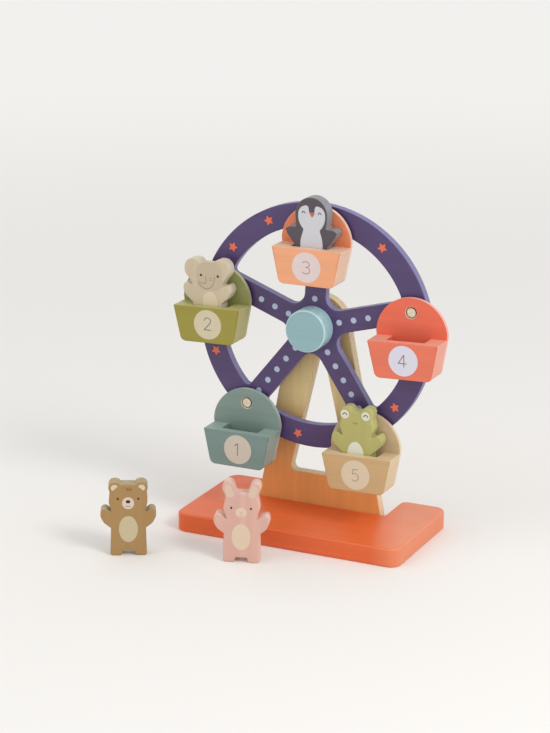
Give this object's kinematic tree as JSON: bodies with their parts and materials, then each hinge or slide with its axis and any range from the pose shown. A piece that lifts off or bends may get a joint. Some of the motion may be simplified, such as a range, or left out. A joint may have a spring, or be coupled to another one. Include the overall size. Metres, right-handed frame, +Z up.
{
  "type": "wooden ferris wheel toy",
  "caption": "Wooden toy ferris wheel: a hand-turned wheel on a notched base and upright, with level hanging buckets and flat animal figures that lift out.",
  "frame": {"origin": "centre of the base board's underside, where the toy stands", "axes": "+Z up, the wheel and the buckets face -Y, +X to the right seen from the front, so that the wheel turns about Y"},
  "size_m": [0.2435, 0.1822, 0.278],
  "materials": {
    "orange_paint": "satin orange paint on solid wood",
    "plywood": "clear matt lacquer on pale plywood",
    "indigo_paint": "satin dark indigo paint with printed dots and stars",
    "teal_paint": "satin pale teal paint",
    "dowel_wood": "plain turned hardwood",
    "nylon": "thin plain washer",
    "screw_steel": "plain countersunk screw",
    "sage_paint": "satin grey-green paint",
    "olive_paint": "satin olive green paint",
    "peach_paint": "satin peach paint",
    "coral_paint": "satin coral red paint",
    "tan_paint": "satin tan paint",
    "penguin_grey": "dark grey paint with a printed white face and belly",
    "elephant_grey": "warm pale grey paint with a printed face",
    "frog_green": "light green paint with a printed face",
    "bear_brown": "light brown paint with a printed face and belly",
    "rabbit_pink": "pale pink paint with a printed face and belly"
  },
  "bodies": {
    "stand": {"base_board": "orange_paint", "upright": "plywood", "upright_screw_left": "screw_steel", "upright_screw_right": "screw_steel"},
    "spinner": {"wheel": "indigo_paint", "hub_knob": "teal_paint", "axle": "dowel_wood", "hub_spacer": "dowel_wood", "rear_washer": "nylon", "rear_cap": "dowel_wood", "pivot_peg_1": "dowel_wood", "pivot_peg_2": "dowel_wood", "pivot_peg_3": "dowel_wood", "pivot_peg_4": "dowel_wood", "pivot_peg_5": "dowel_wood", "pivot_washer_1": "nylon", "pivot_washer_2": "nylon", "pivot_washer_3": "nylon", "pivot_washer_4": "nylon", "pivot_washer_5": "nylon"},
    "bucket_1": {"bucket_panel_1": "sage_paint", "bucket_tub_1": "sage_paint"},
    "bucket_2": {"bucket_panel_2": "olive_paint", "bucket_tub_2": "olive_paint"},
    "bucket_3": {"bucket_panel_3": "peach_paint", "bucket_tub_3": "peach_paint"},
    "bucket_4": {"bucket_panel_4": "coral_paint", "bucket_tub_4": "coral_paint"},
    "bucket_5": {"bucket_panel_5": "tan_paint", "bucket_tub_5": "tan_paint"},
    "penguin": {"penguin": "penguin_grey"},
    "elephant": {"elephant": "elephant_grey"},
    "frog": {"frog": "frog_green"},
    "bear": {"bear": "bear_brown"},
    "rabbit": {"rabbit": "rabbit_pink"}
  },
  "joints": [
    {"name": "wheel_spin", "type": "hinge", "parent": "stand", "child": "spinner", "pos_m": [0, 0, 0.1696], "axis": [0, 1, 0], "continuous": true},
    {"name": "bucket_1_swing", "type": "hinge", "parent": "spinner", "child": "bucket_1", "pos_m": [-0.05527, 0, 0.10061], "axis": [0, 1, 0], "continuous": true},
    {"name": "bucket_2_swing", "type": "hinge", "parent": "spinner", "child": "bucket_2", "pos_m": [-0.08269, 0, 0.20085], "axis": [0, 1, 0], "continuous": true},
    {"name": "bucket_3_swing", "type": "hinge", "parent": "spinner", "child": "bucket_3", "pos_m": [0.00416, 0, 0.2579], "axis": [0, 1, 0], "continuous": true},
    {"name": "bucket_4_swing", "type": "hinge", "parent": "spinner", "child": "bucket_4", "pos_m": [0.08527, 0, 0.19293], "axis": [0, 1, 0], "continuous": true},
    {"name": "bucket_5_swing", "type": "hinge", "parent": "spinner", "child": "bucket_5", "pos_m": [0.04853, 0, 0.09571], "axis": [0, 1, 0], "continuous": true},
    {"name": "penguin_lift", "type": "slide", "parent": "bucket_3", "child": "penguin", "axis": [-0.0052, 0, 1], "range_m": [0, 0.024]},
    {"name": "elephant_lift", "type": "slide", "parent": "bucket_2", "child": "elephant", "axis": [-0.0279, 0, 0.9996], "range_m": [0, 0.024]},
    {"name": "frog_lift", "type": "slide", "parent": "bucket_5", "child": "frog", "axis": [-0.0227, 0, 0.9997], "range_m": [0, 0.024]},
    {"name": "bear_lift", "type": "slide", "parent": "stand", "child": "bear", "axis": [0, 0, 1], "range_m": [0, 0.05]},
    {"name": "rabbit_lift", "type": "slide", "parent": "stand", "child": "rabbit", "axis": [0, 0, 1], "range_m": [0, 0.05]}
  ],
  "couplings": [
    {"joint": "bucket_1_swing", "follows": "wheel_spin", "ratio": -1},
    {"joint": "bucket_2_swing", "follows": "wheel_spin", "ratio": -1},
    {"joint": "bucket_3_swing", "follows": "wheel_spin", "ratio": -1},
    {"joint": "bucket_4_swing", "follows": "wheel_spin", "ratio": -1},
    {"joint": "bucket_5_swing", "follows": "wheel_spin", "ratio": -1}
  ]
}
